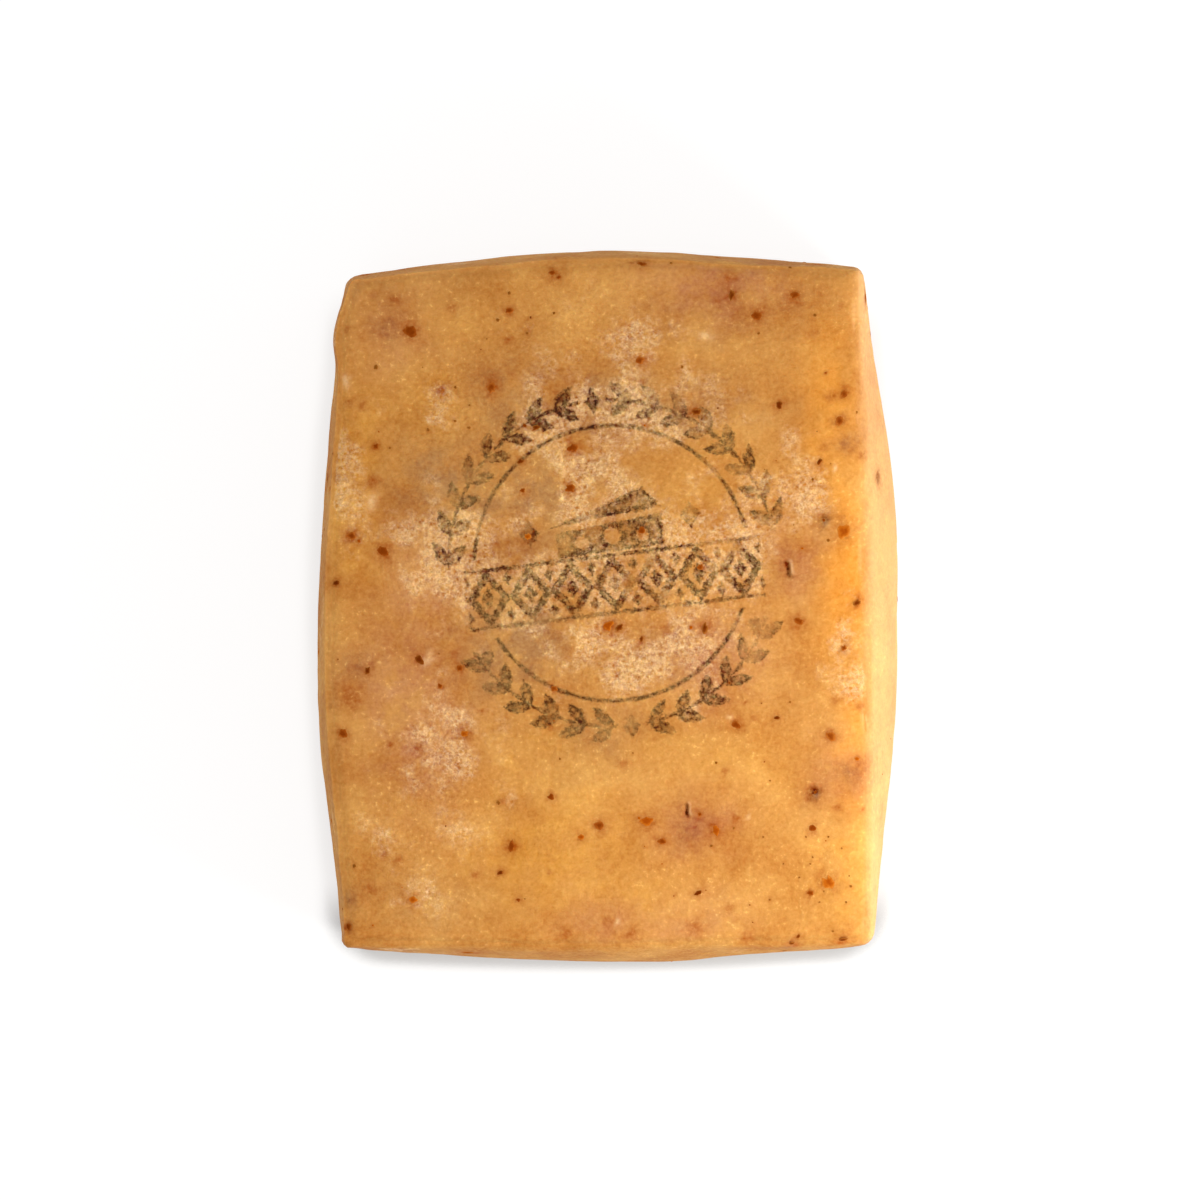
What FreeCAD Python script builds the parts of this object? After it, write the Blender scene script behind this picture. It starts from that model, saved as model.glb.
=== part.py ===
import FreeCAD
import Part

import math
import os
from collections import namedtuple

# A block of semi-soft butter cheese, turned out of an oblong mould and sagged a little
# under its own weight. Its four walls bulge, each by its own amount, its edges are rounded,
# and its top face is slightly crowned.
#
# Millimetres, +Z up. The origin is on the flat base, below the middle of the block's box.
# +X is across the block (right), +Y is along it (back).
#
# The skin is one smooth surface. It is drawn over level rings, from the rim of the base, up
# the walls, over the shoulder and in towards the middle of the top face. A ring is a
# four-sided outline with bowed sides and rounded corners.

# ---- overall size ------------------------------------------------------------------------
WIDTH = 131.0  # along X, where the walls stand out most
LENGTH = 160.0  # along Y, where the walls stand out most
HEIGHT = 62.0  # from the base to the crown of the top face

# ---- walls -------------------------------------------------------------------------------
# bow       how far the middle of the top edge stands outside the line between its corners
# bulge     how far the middle of the wall's widest level stands further out than that bow
# lean      how far the wall's ends, at the corners, stand out at the widest level
# peak      where along the side the bow is greatest, from 0 to 1, counterclockwise
# shoulder  radius of the rounded edge between the wall and the top face
Wall = namedtuple("Wall", "bow bulge lean peak shoulder")
RIGHT = Wall(bow=0.4, bulge=6.0, lean=1.6, peak=0.50, shoulder=4.2)
BACK = Wall(bow=3.0, bulge=1.6, lean=1.6, peak=0.48, shoulder=2.2)
LEFT = Wall(bow=4.6, bulge=1.0, lean=1.8, peak=0.56, shoulder=2.2)
FRONT = Wall(bow=0.9, bulge=2.2, lean=1.8, peak=0.46, shoulder=2.6)
WALLS = (RIGHT, BACK, LEFT, FRONT)

WIDEST_Z = 27.0  # height of the widest level of the walls
BULGE_POWER = 2.3  # 2 is a plain barrel; more makes the wall fuller near its edges
BOW_POWER = 1.1  # shape of a bowed side: 1 is a plain arch, more is flatter at its ends

# ---- corners and edges -------------------------------------------------------------------
# How far each corner of the widest level is drawn in, in X and in Y, out of square.
CORNER_SKEWS = {
    "front_right": (-1.2, 0.2),
    "back_right": (1.2, -1.0),
    "back_left": (0.1, 1.0),
    "front_left": (-0.1, -0.4),
}
CORNER_RADIUS = 2.4  # seen from above, at the edge of the top face
CORNER_SWELL = 2.2  # how much larger that radius is at the widest level
BASE_RADIUS = 3.2  # rounding between the walls and the base
CROWN = 1.3  # how much higher the middle of the top face is than its rim

# ---- local swellings of the wall ---------------------------------------------------------
# wall       index in WALLS
# along      distance of its middle from the start of that wall, counterclockwise
# below_top  depth of its middle under the top face's rim
# reach      how far it stands out; below zero it is a dent
# half_run   half its length along the wall
# half_drop  half its height
Swelling = namedtuple("Swelling", "wall along below_top reach half_run half_drop")
SWELLINGS = (
    Swelling(wall=2, along=14.5, below_top=3.5, reach=3.1, half_run=5.6, half_drop=7.5),
    Swelling(wall=2, along=24.0, below_top=5.0, reach=-0.5, half_run=5.0, half_drop=6.0),
    Swelling(wall=1, along=99.0, below_top=5.0, reach=0.7, half_run=7.0, half_drop=12.0),
    Swelling(wall=1, along=27.0, below_top=12.0, reach=-1.0, half_run=10.0, half_drop=16.0),
    Swelling(wall=0, along=100.0, below_top=20.0, reach=0.8, half_run=14.0, half_drop=14.0),
    Swelling(wall=3, along=72.0, below_top=22.0, reach=0.8, half_run=16.0, half_drop=13.0),
)

# ---- how finely the skin is drawn --------------------------------------------------------
SIDE_STEPS = 17  # columns along each side of a ring
CORNER_STEPS = 5  # columns round each corner
ROUNDING_STEPS = 5  # rings over each rounded edge
WALL_RINGS = 9  # rings between the two rounded edges
CROWN_SHARES = (0.97, 0.86, 0.66, 0.44, 0.22, 0.06)  # rings on the top face, against its rim
SKIN_DEGREE = 3
LEVEL_SLACK = 0.01  # an edge counts as level when its height varies by less than this

Vector = FreeCAD.Vector


def unit(vector):
    """The vector at length one."""
    return vector * (1.0 / vector.Length)


def outward(start, end):
    """Level normal of the side from start to end, pointing out of the block."""
    run = unit(end - start)
    return Vector(run.y, -run.x, 0.0)


def crossing(point_a, run_a, point_b, run_b):
    """Where two level lines cross, each given by a point and a direction."""
    between = point_b - point_a
    turn = run_a.x * run_b.y - run_a.y * run_b.x
    share = (between.x * run_b.y - between.y * run_b.x) / turn
    return point_a + run_a * share


def widest_corners():
    """The sharp corners of the widest level, each at the start of its wall in WALLS."""
    right, back, left, front = (wall.bow + wall.bulge for wall in WALLS)
    plain = {
        "front_right": (WIDTH / 2 - right, -LENGTH / 2 + front),
        "back_right": (WIDTH / 2 - right, LENGTH / 2 - back),
        "back_left": (-WIDTH / 2 + left, LENGTH / 2 - back),
        "front_left": (-WIDTH / 2 + left, -LENGTH / 2 + front),
    }
    corners = []
    for name, (x, y) in plain.items():
        skew_x, skew_y = CORNER_SKEWS[name]
        corners.append(Vector(x - math.copysign(1, x) * skew_x, y - math.copysign(1, y) * skew_y, 0))
    return corners


def moved_corners(corners, moves):
    """The corners after each side has moved outward by its own amount."""
    count = len(corners)
    runs = [corners[(i + 1) % count] - corners[i] for i in range(count)]
    starts = []
    for i, move in enumerate(moves):
        starts.append(corners[i] + outward(corners[i], corners[(i + 1) % count]) * move)
    return [crossing(starts[i - 1], runs[i - 1], starts[i], runs[i]) for i in range(count)]


def bow_shape(share, peak):
    """Height of a bowed side at a share of its length: 0 at both ends and 1 at the peak."""
    if share <= peak:
        angle = 0.5 * math.pi * share / peak
    else:
        angle = 0.5 * math.pi * (1.0 + (share - peak) / (1.0 - peak))
    return max(0.0, math.sin(angle)) ** BOW_POWER


def swell_share(z):
    """How much of the bulge a level has: 1 at the widest level, 0 at the base and the rim."""
    rim = HEIGHT - CROWN
    span = rim - WIDEST_Z if z > WIDEST_Z else WIDEST_Z
    return max(0.0, 1.0 - (abs(z - WIDEST_Z) / span) ** BULGE_POWER)


def swelling_reach(wall, along, z):
    """How far the local swellings push a wall out at one place."""
    total = 0.0
    for swelling in SWELLINGS:
        if swelling.wall == wall:
            side_on = (along - swelling.along) / swelling.half_run
            up = (HEIGHT - CROWN - swelling.below_top - z) / swelling.half_drop
            total += swelling.reach * math.exp(-side_on * side_on - up * up)
    return total


def ring(level, insets, heights):
    """One ring of the skin.

    level    height that decides how far the walls bulge here
    insets   how far each side is drawn in from its wall, by a rounded edge
    heights  height of the ring at each side; round a corner it passes from one to the next
    """
    swell = swell_share(level)
    moves = [wall.lean * (swell - 1.0) - inset for wall, inset in zip(WALLS, insets)]
    corners = moved_corners(widest_corners(), moves)
    radius = CORNER_RADIUS + CORNER_SWELL * swell
    count = len(corners)
    points = []
    for i, wall in enumerate(WALLS):
        start, end = corners[i], corners[(i + 1) % count]
        normal = outward(start, end)
        run = unit(end - start)
        before = unit(start - corners[i - 1])
        after = unit(corners[(i + 2) % count] - end)
        turn = run.getAngle(after)
        first = start + run * radius * math.tan(0.5 * before.getAngle(run))
        last = end - run * radius * math.tan(0.5 * turn)
        bow = wall.bow + wall.bulge * swell
        for step in range(SIDE_STEPS):
            share = step / (SIDE_STEPS - 1)
            place = first + (last - first) * share
            along = (place - start).Length
            reach = bow * bow_shape(share, wall.peak) + swelling_reach(i, along, heights[i])
            points.append(place + normal * reach + Vector(0, 0, heights[i]))
        centre = last - normal * radius
        for step in range(1, CORNER_STEPS):
            share = step / CORNER_STEPS
            angle = turn * share
            spoke = normal * math.cos(angle) + run * math.sin(angle)
            height = heights[i] + (heights[(i + 1) % count] - heights[i]) * share
            points.append(centre + spoke * radius + Vector(0, 0, height))
    return points


def base_rings():
    """Rings over the rounded edge at the base, from the flat base up to the wall."""
    rings = []
    for step in range(ROUNDING_STEPS):
        angle = 0.5 * math.pi * step / ROUNDING_STEPS
        inset = BASE_RADIUS * (1.0 - math.sin(angle))
        z = BASE_RADIUS * (1.0 - math.cos(angle))
        rings.append(ring(z, [inset] * len(WALLS), [z] * len(WALLS)))
    return rings


def wall_rings():
    """Rings up the walls, between the two rounded edges."""
    tops = [HEIGHT - CROWN - wall.shoulder for wall in WALLS]
    rings = []
    for step in range(WALL_RINGS):
        share = step / WALL_RINGS
        heights = [BASE_RADIUS + (top - BASE_RADIUS) * share for top in tops]
        rings.append(ring(sum(heights) / len(heights), [0.0] * len(WALLS), heights))
    return rings


def shoulder_rings():
    """Rings over the rounded edge of the top face, up to its level rim."""
    rim = HEIGHT - CROWN
    rings = []
    for step in range(ROUNDING_STEPS + 1):
        angle = 0.5 * math.pi * step / ROUNDING_STEPS
        insets = [wall.shoulder * (1.0 - math.cos(angle)) for wall in WALLS]
        heights = [rim - wall.shoulder * (1.0 - math.sin(angle)) for wall in WALLS]
        rings.append(ring(sum(heights) / len(heights), insets, heights))
    return rings


def crown_rings(rim_ring):
    """Rings that close in over the crowned top face, each a smaller copy of its rim."""
    rings = []
    for share in CROWN_SHARES:
        z = HEIGHT - CROWN * share * share
        rings.append([Vector(p.x * share, p.y * share, z) for p in rim_ring])
    rings[-1] = [Vector(p.x, p.y, HEIGHT) for p in rings[-1]]
    return rings


def skin_face(rings):
    """A smooth surface with the rings as its control net, closed round the block."""
    columns, rows = len(rings[0]), len(rings)
    spans = rows - SKIN_DEGREE
    poles = [[rings[row][column] for row in range(rows)] for column in range(columns)]
    surface = Part.BSplineSurface()
    surface.buildFromPolesMultsKnots(
        poles,
        [1] * (columns + 1),
        [SKIN_DEGREE + 1] + [1] * (spans - 1) + [SKIN_DEGREE + 1],
        list(range(columns + 1)),
        list(range(spans + 1)),
        True,
        False,
        SKIN_DEGREE,
        SKIN_DEGREE,
    )
    return surface.toShape()


def flat_face(skin, z, facing_up):
    """The flat face inside the skin's level edge at height z."""
    rim = []
    for edge in skin.Edges:
        box = edge.BoundBox
        if abs(box.ZMin - z) + abs(box.ZMax - z) < LEVEL_SLACK:
            rim.append(edge)
    face = Part.Face(Part.Wire(rim))
    if (face.normalAt(0, 0).z > 0) != facing_up:
        face.reverse()
    return face


def cheese_block():
    """The whole block as one solid, standing on its flat base round the origin."""
    rings = base_rings() + wall_rings() + shoulder_rings()
    rings += crown_rings(rings[-1])
    skin = skin_face(rings)
    base = flat_face(skin, 0.0, facing_up=False)
    top = flat_face(skin, HEIGHT, facing_up=True)
    solid = Part.Solid(Part.Shell([skin, base, top]))
    middle = solid.optimalBoundingBox(True, False).Center
    solid.translate(Vector(-middle.x, -middle.y, 0.0))
    return solid


def main():
    os.makedirs("parts", exist_ok=True)
    block = cheese_block()
    block.exportStep("parts/cheese_block.step")
    box = block.optimalBoundingBox(True, False)
    size = " x ".join(f"{side:.2f}" for side in (box.XLength, box.YLength, box.ZLength))
    print(f"cheese_block: {size} mm, {block.Volume / 1000.0:.1f} ml, valid {block.isValid()}")


main()
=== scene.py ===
import math
import random
from collections import namedtuple

import bmesh
import bpy
import numpy as np
from mathutils import Matrix, Vector, noise
from mathutils.bvhtree import BVHTree
from mathutils.kdtree import KDTree


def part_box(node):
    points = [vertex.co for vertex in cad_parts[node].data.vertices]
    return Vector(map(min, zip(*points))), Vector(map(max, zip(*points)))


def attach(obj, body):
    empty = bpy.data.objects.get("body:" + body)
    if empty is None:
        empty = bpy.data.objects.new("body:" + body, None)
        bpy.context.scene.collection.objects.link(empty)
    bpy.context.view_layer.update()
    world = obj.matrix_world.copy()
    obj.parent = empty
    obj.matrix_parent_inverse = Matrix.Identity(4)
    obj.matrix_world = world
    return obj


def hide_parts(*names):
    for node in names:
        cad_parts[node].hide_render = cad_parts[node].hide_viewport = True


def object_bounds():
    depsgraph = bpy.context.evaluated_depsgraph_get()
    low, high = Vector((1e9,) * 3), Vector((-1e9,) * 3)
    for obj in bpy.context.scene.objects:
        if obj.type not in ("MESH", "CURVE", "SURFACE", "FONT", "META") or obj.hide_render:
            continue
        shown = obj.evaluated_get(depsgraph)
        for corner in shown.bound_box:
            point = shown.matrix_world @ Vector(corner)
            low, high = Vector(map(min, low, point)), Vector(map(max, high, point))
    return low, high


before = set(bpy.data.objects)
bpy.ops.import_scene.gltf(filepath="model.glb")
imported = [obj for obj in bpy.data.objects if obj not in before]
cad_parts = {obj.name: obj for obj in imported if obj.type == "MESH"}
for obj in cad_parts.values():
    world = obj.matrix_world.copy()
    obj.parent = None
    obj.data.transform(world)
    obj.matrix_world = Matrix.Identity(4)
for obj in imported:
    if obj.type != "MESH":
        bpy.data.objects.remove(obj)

# A block of butter cheese: one dense skin over the CAD solid, with its undulations, pits,
# cracks and wrinkles in the mesh, and loose chilli flakes pressed into it as true pieces.
# Colours, the granular bloom and the ink stamp come from the skin's material.
#
# Sizes are in millimetres unless a name says otherwise, and MM turns them into metres.
MM = 0.001
SEED = 20

NODE = "cheese_block"
CAD_LOW, CAD_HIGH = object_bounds()
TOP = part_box(NODE)[1].z / MM
RNG = random.Random(SEED)

# ---- the skin ----------------------------------------------------------------------------
SKIN_VOXEL = 1.3  # spacing of the skin's mesh: half of it on top, a sixth at the larger marks
SKIN_SMOOTHING = 8  # rounds of smoothing, to hide the CAD mesh's facets
SMOOTHING_SHARE = 0.6  # of the way to the neighbours' middle, in each round
SMOOTHING_REACH = 0.16  # the furthest that smoothing may move the skin, so corners stay crisp
RIM_DEPTH = 3.2  # how far below the top the finer mesh reaches

# Relief: size across one bump, and height.
WAVES = ((34.0, 0.42), (11.0, 0.15), (4.0, 0.06))
RIM_BITES = (8.0, 0.5)  # small dents along the top rim: size across, and depth
TOP_INSET = 0.42  # how far the skin's middle level lies below the CAD surface on top
WALL_INSET = 0.08  # and on the walls
FLAT_FOOT = 5.0  # below this height the relief fades out, so that the base lies flat
WRINKLE_LENGTH = 15.0  # level wrinkles on the walls
WRINKLE_FLATNESS = 5.5  # length over height
WRINKLE_DEPTH = 0.30

# Lumps and dents of the walls: x, y, z, reach, height.
LUMPS = (
    (-59.5, 59.0, 54.0, 4.5, 0.5), (-60.5, 52.5, 55.0, 3.5, -0.6), (-57.0, 68.0, 55.0, 4.0, -0.4),
    (-50.0, 75.0, 55.0, 9.0, -0.8), (-37.0, 76.0, 56.0, 8.0, -0.5), (-22.0, 77.0, 56.0, 8.0, -0.3),
    (27.0, 77.0, 55.0, 3.0, 0.4), (61.0, 38.0, 42.0, 13.0, 0.8), (64.0, -20.0, 38.0, 16.0, 0.6),
    (45.0, -77.5, 50.0, 15.0, 0.7), (-12.0, -79.5, 48.0, 25.0, 0.6), (-50.0, -77.0, 50.0, 15.0, 0.7),
    (-63.0, -22.0, 45.0, 16.0, 0.4), (-62.0, 40.0, 48.0, 10.0, 0.4),
)
# The four upright corners are sharper than the solid's: sign of x, sign of y, outward push.
CORNER_PUSHES = ((-1, -1, 0.85), (1, -1, 0.15), (1, 1, 0.4), (-1, 1, 0.1))

# ---- marks on the top face ---------------------------------------------------------------
# Each mark is (x, y, size, turn): its middle, its width, and the angle of its long side in
# degrees, counterclockwise from x.
MARKS = {
    # red-brown chilli flakes with a warm halo
    "red": (
        (-44, 61, 2.7, -30), (-22, 65.5, 1.6, 0), (-12.5, 74, 1.1, 0), (-11, 73, 0.9, 0),
        (-26, 48.5, 2.0, 80), (33, 64.5, 2.0, 60), (41.5, 69, 1.8, 0), (52.5, 47, 1.6, 60),
        (51.5, 41, 2.0, 20), (7, 54.5, 1.8, 10), (7.5, 76.5, 1.6, 0), (-8, 35, 2.0, 0),
        (-8.5, 26, 2.0, 10), (-19, 25.5, 1.1, 0), (-57, 15.5, 1.8, 0), (-50, 12, 2.4, -35),
        (20.5, 8.5, 1.3, 0), (-59, -28.5, 2.0, -65), (-33, -14, 1.3, 90), (-12, -18.5, 1.3, 0),
        (42.5, -3.5, 2.0, -30), (52.5, -9.5, 1.3, 50), (28.5, -26.5, 1.8, -50), (49.5, -29, 2.0, -30),
        (-21.5, -53.5, 1.8, 80), (-20, -65.5, 0.9, 0), (-2, -49, 2.0, -45), (-58, -71.5, 1.6, 0),
        (12, -52.5, 1.6, 0), (45.5, -49.5, 1.5, 30), (45, -64, 1.1, 0),
    ),
    # bright orange flakes
    "orange": (
        (52.5, 16.5, 3.1, 70), (-32, -28.5, 1.6, 0), (0, -4.5, 2.2, 20), (-6, -51.5, 1.3, 0),
        (-43.5, -65.5, 1.8, -20), (8.5, -48, 2.2, 0), (24, -50, 2.0, 80), (49, -61.5, 2.7, -60),
    ),
    # dark brown flakes
    "dark": (
        (-16, 39.5, 1.6, 20), (27.5, 69, 1.8, 80), (38, 44.5, 1.6, 80), (19.5, 43, 1.8, 0),
        (-19.5, 32, 1.3, 0), (-60.5, 5, 1.3, 0), (47, 32, 1.3, 60), (55.5, 0.5, 1.6, 45),
        (-53.5, -14.5, 1.3, 80), (-42, -12, 2.0, -50), (2.5, -5, 1.6, 40), (21.5, -5, 2.0, 80),
        (37.5, -25, 1.1, 0), (-24, -59.5, 1.1, 30), (20, -64, 1.3, 30), (52, -74.5, 1.7, 25),
        (39.5, -76.7, 1.0, 55), (40.8, -75.2, 1.3, 50), (42.3, -73.7, 0.9, 60),
    ),
    # single seeds and crumbs of the spice
    "speck": (
        (-22, 69.5, 0.9, 0), (-24.5, 63.5, 0.9, 0), (-12, 65, 0.7, 0), (-18, 60.5, 0.9, 0),
        (-34, 48.5, 0.7, 0), (-34, 41, 0.7, 0), (-31, 39.5, 0.9, 0), (-40, 39, 0.9, 0),
        (33.5, 60.5, 0.7, 0), (46, 64.5, 0.9, 0), (16.5, 53, 0.7, 0), (14, 76.5, 0.7, 0),
        (40.5, 75.5, 0.9, 0), (55.5, 43, 0.7, 0), (-48.5, 35, 0.7, 0), (45.5, 28, 0.7, 0),
        (49, 14.5, 0.9, 0), (40.5, -21.5, 0.7, 0), (24, -35, 0.7, 0), (36, -39, 0.5, 0),
        (-56.5, -58, 0.9, 0), (28, -49.5, 0.7, 0), (36, -65.5, 0.7, 0), (32, -77, 0.7, 0),
        (23, -53.5, 0.7, 0), (54, -62.5, 0.7, 0), (50, -72.5, 0.7, 0), (44, -51.5, 0.5, 0),
        (45.5, -56, 0.5, 0), (45, -57.5, 0.5, 0), (49, -51.5, 0.5, 0), (52, -54, 0.5, 0),
        (42.5, -60.5, 0.5, 0), (47, -66, 0.5, 0), (53, -66, 0.5, 0), (34.5, -51.5, 0.5, 0),
        (39, -57.5, 0.5, 0),
    ),
    # flakes just under the skin: soft brown spots
    "soft": (
        (-58, 61.5, 1.3, 0), (-55, 60, 1.1, 0), (-47, 68, 1.8, 0), (-35, 66, 1.8, 0), (-12, 73.5, 2.9, 0),
        (-22, 59, 1.6, 0), (-21.5, 51.5, 1.1, 0), (-37.5, 48, 2.7, 0), (-57.5, 45, 2.0, 0),
        (-54.5, 44.5, 1.8, 0), (27, 73, 3.3, 0), (24, 68, 1.3, 0), (51.5, 66.5, 1.6, 0),
        (46, 60.5, 1.6, 0), (50, 46.5, 2.7, 0), (7.5, 50, 0.9, 0), (5, 76.5, 1.1, 0), (-19, 25, 2.4, 0),
        (-60.5, 28.5, 1.8, 90), (-52.5, 27.5, 2.2, 50), (-25, 13.5, 1.1, 0), (-30.5, 11, 1.1, 0),
        (-21, 8, 1.8, 0), (48.5, 35.5, 2.2, 0), (56.5, 33.5, 1.8, 0), (-57.5, -20, 4.9, 90),
        (-34.5, -11, 1.6, 0), (-44, -27, 2.0, 0), (-39.5, -26.5, 1.8, 0), (-48.5, -31, 1.3, 0),
        (-42, -31.5, 2.2, 0), (-28, -23.5, 1.1, 0), (-62, -22.5, 0.9, 0), (-13, -27, 1.8, 0),
        (50.5, -21, 1.8, 0), (32.5, -25, 1.3, 0), (30.5, -21.5, 0.9, 0), (26, -37, 1.6, 90),
        (3, -35, 1.8, 0), (56, -22.5, 1.8, 0), (-13, -59.5, 1.1, 0), (-53, -63, 1.8, 0),
        (-50, -55.5, 1.3, 0), (-46.5, -57, 1.8, 0), (-29.5, -60, 1.8, 0), (-9.5, -73, 2.4, 0),
        (-23.5, -43.5, 1.3, 90), (0, -70.5, 2.0, 0), (28.5, -47.5, 2.0, 0), (51, -45, 1.3, 0),
        (56.5, -45.5, 1.1, 0), (27, -67.5, 2.2, 0), (5.5, -73, 2.7, -70), (19.5, -71.5, 2.7, 5),
        (31, -74, 2.4, 90),
    ),
    # wide brown stains
    "blur": (
        (-48.5, 61.5, 3.6, 0), (53, 36, 3.1, 0), (-56, -13.5, 3.6, 0), (54, -37, 4.0, 0),
        (-58, -65.5, 2.7, 0), (18, -49, 4.4, 90),
    ),
    # pale spots: dried curd, and painted glints among them
    "pale": (
        (-58.5, 50, 3.6, 90), (21.5, 60, 2.9, 0), (-52.5, 23, 3.6, 90), (50.5, 30.5, 1.8, 80),
        (37.5, 12, 1.3, 0), (-40, -12, 3.8, 60), (27, -25, 1.6, 0), (58, -26, 1.8, 0), (31, -47, 1.3, 90),
        (2, -70.5, 1.8, 70),
    ),
    # greyish mark at the front edge, with the last of the dark flakes in it
    "grey": ((40.5, -75.5, 3.8, 55),),
    # small holes with a flake in them, and short splits in the skin
    "pit": ((48, 19, 2.7, 0), (46, -41.5, 2.9, 0)),
    "crack": ((40, 8, 4.2, -55), (17.5, -45.5, 3.2, -65)),
}

# What a mark does to the skin round it. Strengths run from 0 to 1, and a reach is a share of
# the mark's size: stain is dull brown, halo is orange-brown, pale is cream, partly painted
# highlight. long is how much longer than wide the mark is, and hole is its depth in millimetres.
Effect = namedtuple("Effect", "stain stain_reach halo halo_reach pale pale_reach long hole")
EFFECTS = {
    "red": Effect(0.15, 0.8, 1.0, 0.85, 0.0, 0.0, 1.12, 0.0),
    "orange": Effect(0.0, 0.0, 0.8, 1.0, 0.0, 0.0, 1.1, 0.0),
    "dark": Effect(0.3, 0.6, 0.9, 0.8, 0.0, 0.0, 1.2, 0.0),
    "speck": Effect(0.0, 0.0, 0.35, 0.9, 0.0, 0.0, 1.0, 0.0),
    "soft": Effect(0.2, 0.5, 0.75, 0.55, 0.0, 0.0, 1.15, 0.0),
    "blur": Effect(0.8, 0.8, 0.0, 0.0, 0.0, 0.0, 1.3, 0.0),
    "pale": Effect(0.0, 0.0, 0.0, 0.0, 0.7, 0.28, 1.6, -0.05),
    "grey": Effect(1.0, 0.32, 0.0, 0.0, 0.3, 0.12, 2.4, 0.1),
    "pit": Effect(0.55, 1.0, 0.5, 0.7, 0.6, 0.22, 1.0, 0.4),
    "crack": Effect(0.45, 1.1, 0.3, 0.5, 0.55, 0.16, 1.0, 0.5),
}
SHARP_KINDS = ("pit", "crack", "red", "dark", "orange", "pale")  # these get a finer mesh
SHARP_SIZE = 1.5  # smaller marks do without it
MARK_REACH = 2.2  # how far out a mark's traces are worked out, as a share of its size
MARK_MARGIN = 0.6  # and this much further
MARK_UNEVENNESS = 0.45  # how much its borders wander
PIT_RADIUS = 0.42  # as shares of the mark's size, here and in the next two
CRACK_HALF_LENGTH = 0.55
CRACK_HALF_WIDTH = 0.11

# Random flakes besides these: how many to a square decimetre, and their sizes.
LOOSE_PER_DM2 = 40
LOOSE_SIZES = (0.35, 1.5)
LOOSE_POWERS = (6.0, 1.3)  # on top and on the walls: the higher, the more of them are small
LOOSE_KINDS = ("red", "red", "dark", "speck", "speck", "soft", "orange")
# This share of those on the walls are larger marks, with a least size and a spread.
WALL_MARK_SHARE = 0.2
WALL_MARK_KINDS = ("pit", "crack", "blur", "soft", "red", "orange")
WALL_MARK_SIZE = 1.3
WALL_MARK_SPREAD = 1.6

# ---- colour zones of the top face: (x, y, reach in x, reach in y, strength) ---------------
ZONE_DRIFT = (13.0, 4.5)  # how their borders wander: size across one wave, and how far
WALL_BLOOM = 0.45  # strength of the bloom's patches on the walls
ZONES = {
    # pale grains
    "bloom": (
        (-33, 11, 13, 15, 0.9), (-3, 27, 13, 10, 0.7), (4, 43, 24, 10, 0.7), (7, -11, 26, 11, 0.65),
        (26, 12, 11, 14, 0.8), (-14, 41, 12, 10, 0.7), (18, -7, 9, 11, 0.5), (-36, -34, 13, 18, 0.7),
        (0, 60, 26, 12, 0.4), (-46, -56, 16, 14, 0.35), (0, 8, 34, 30, 0.55),
        # The bloom at (-58, 27) is partly painted light: it lifts the left margin, where the lights fall
        # off.
        (40, 26, 10, 10, 0.85), (57, -10, 8, 12, 0.65), (-58, 27, 7, 16, 0.8), (-36, 44, 9, 9, 0.5),
    ),
    # rosy tan
    "rosy": (
        (-46, 60, 12, 9, 0.6), (-45, 3, 12, 12, 0.6), (-46, -20, 13, 17, 0.6), (-39, -31, 14, 12, 0.8),
        (-36, -46, 12, 12, 0.4), (25, -12, 14, 11, 0.6), (54, -37, 9, 12, 0.7), (18, -49, 10, 10, 0.6),
        (0, -70, 12, 6, 0.7), (14, -69, 15, 6, 0.8), (25, 72, 18, 8, 0.6), (42, 10, 9, 9, 0.5),
    ),
    # clear yellow gold
    "gold": (
        (-19, -33, 18, 10, 0.7), (-10, 33, 9, 7, 0.4), (12, 24, 14, 12, 0.5), (-10, -60, 24, 12, 0.5),
        # The gold at (-58, 28) is painted light: it lifts the left margin, where the lights fall off.
        (21, -35, 20, 11, 0.5), (54, -62, 10, 16, 0.8), (-58, 28, 9, 24, 1.2), (-40, 46, 9, 10, 0.8),
        (-38, 63, 12, 9, 0.6), (-14, -54, 24, 16, 0.9), (6, -64, 20, 8, 0.7),
    ),
    # orange beside the right rim: partly the curd's own deeper orange, partly painted light where the key
    # light rakes it
    "glow": (
        (53, 14, 5, 24, 1.0), (50, 44, 5, 16, 0.8), (55, -26, 5, 16, 0.7), (57, -50, 4, 12, 0.5),
    ),
    # dull olive brown
    "dull": (
        (-20, 45, 13, 12, 0.6), (-37, 28, 12, 11, 1.0), (-11, 10, 22, 16, 0.5), (-20, -10, 14, 12, 1.0),
        (-6, -29, 18, 9, 0.9), (-18, 26, 14, 9, 1.0), (5, 44, 26, 8, 0.9),
        (-46, 72, 16, 8, 0.4), (20, 66, 20, 10, 0.3), (1, 25, 12, 11, 0.8), (12, -11, 18, 9, 0.5),
        (-38, -66, 13, 8, 0.5),
    ),
}

# ---- stamp: ink ring, leaf wreath, wedge of cheese, and a band of lozenges -----------------
STAMP_CENTRE = (0.9, 9.4)
STAMP_TURN = 7.0  # degrees, counterclockwise
RING_RADIUS = 30.6
RING_LINE = 0.9
WREATH_RADIUS = 36.4
LEAF_LENGTH = 6.6
LEAF_WIDTH = 2.7
LEAF_CELLS = 36  # leaf pairs in a whole turn, before the gaps
LEAF_LEAN = 38.0  # degrees between leaf and stem
LEAF_OFFSET = 1.75  # from the stem to a leaf's middle
STEM_HALF_WIDTH = 0.38
WREATH_BREAK = 5.0  # degrees left bare at the bottom and at the top, each side
WREATH_GAP = (-6.5, 9.5)  # gap at both sides: its middle and half height
BAND_MIDDLE = -4.6  # the band's middle, above the stamp's
BAND_HALF_WIDTH = 33.0
BAND_HALF_HEIGHT = 6.4
BAND_CELL = 9.4  # from one lozenge to the next
RULE_HALF_WIDTH = 0.42
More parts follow.
